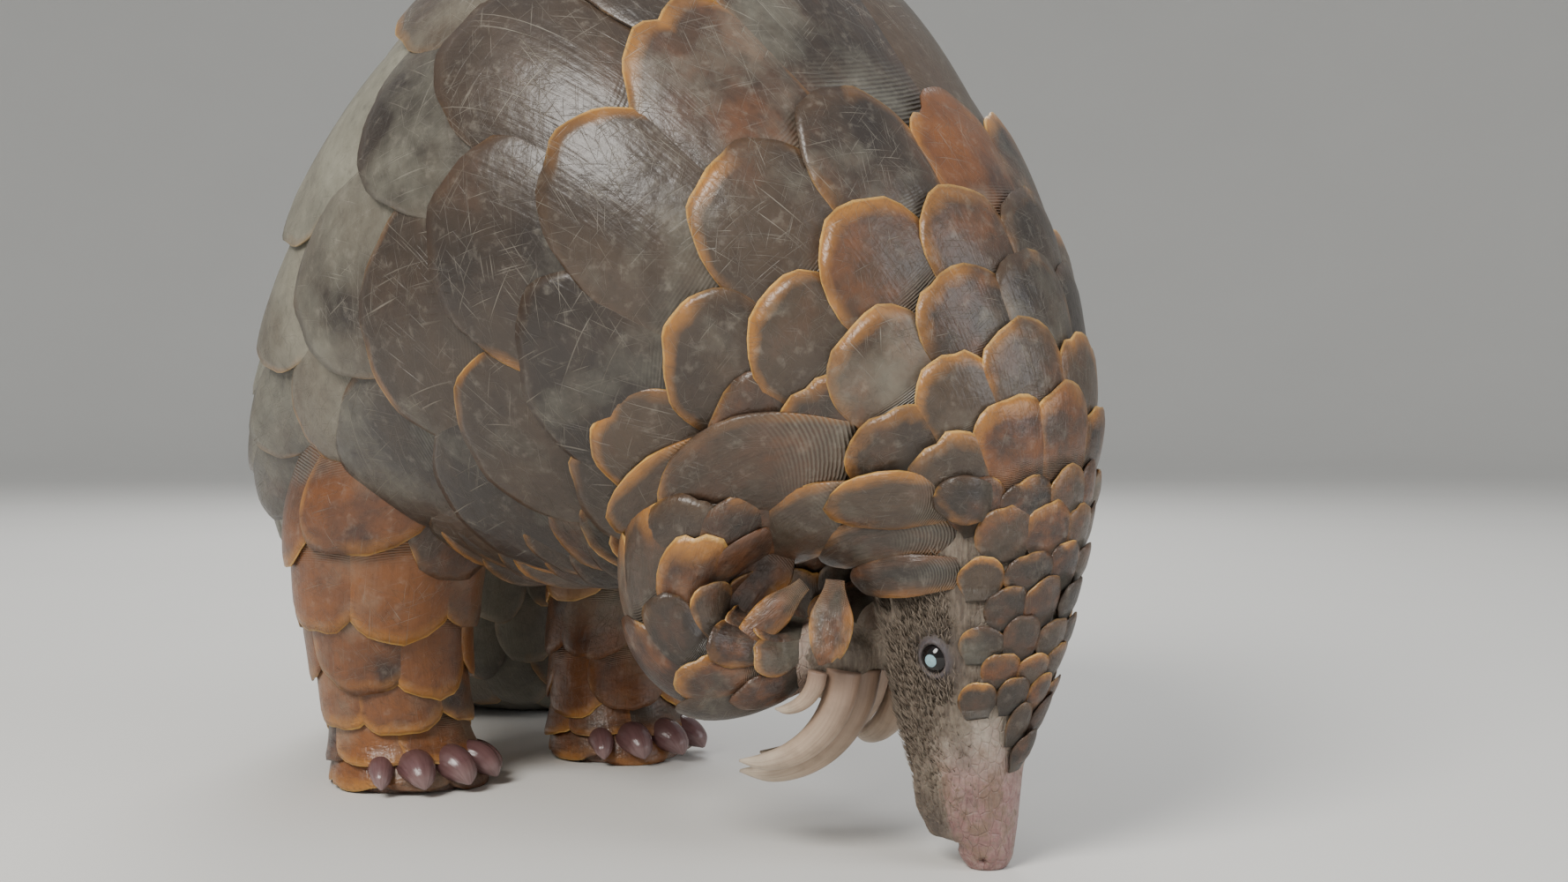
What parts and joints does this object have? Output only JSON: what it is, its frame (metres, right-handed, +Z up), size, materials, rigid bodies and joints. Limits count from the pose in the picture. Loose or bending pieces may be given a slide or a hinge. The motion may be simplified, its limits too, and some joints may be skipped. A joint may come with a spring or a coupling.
{
  "type": "ground pangolin",
  "caption": "Life-size still model of a scaly ground pangolin, arched over its hind feet with its nose to the floor and its tail laid out behind.",
  "frame": {"origin": "the middle of the footprint at floor level, on the plane of the soles, the underside of the tail and the nose", "axes": "+X towards the head, +Y the animal's left, +Z up"},
  "size_m": [0.499, 0.4194, 0.3205],
  "materials": {
    "scales": "overlapping horny scales, grey brown with amber rims",
    "skin": "bare dusty skin",
    "horn": "pale worn claw horn",
    "nails": "smooth purple brown nails",
    "eye": "wet dark eye"
  },
  "bodies": {
    "root": {"eye_left": "eye", "ear_left": "skin", "eye_right": "eye", "ear_right": "skin", "claw_fore_left_1": "horn", "claw_fore_left_2": "horn", "claw_fore_left_3": "horn", "claw_fore_left_4": "horn", "claw_fore_left_5": "horn", "nail_hind_left_1": "nails", "nail_hind_left_2": "nails", "nail_hind_left_3": "nails", "nail_hind_left_4": "nails", "nail_hind_left_5": "nails", "claw_fore_right_1": "horn", "claw_fore_right_2": "horn", "claw_fore_right_3": "horn", "claw_fore_right_4": "horn", "claw_fore_right_5": "horn", "nail_hind_right_1": "nails", "nail_hind_right_2": "nails", "nail_hind_right_3": "nails", "nail_hind_right_4": "nails", "nail_hind_right_5": "nails", "tail_tip": "scales", "tail_middle": "scales", "tail_base": "scales", "torso_rear": "scales", "torso_front": "scales", "neck": "scales", "head": "scales", "hind_leg_left": "scales", "hind_foot_left": "skin", "fore_arm_left": "scales", "fore_hand_left": "skin", "hind_leg_right": "scales", "hind_foot_right": "skin", "fore_arm_right": "scales", "fore_hand_right": "skin"}
  },
  "joints": []
}
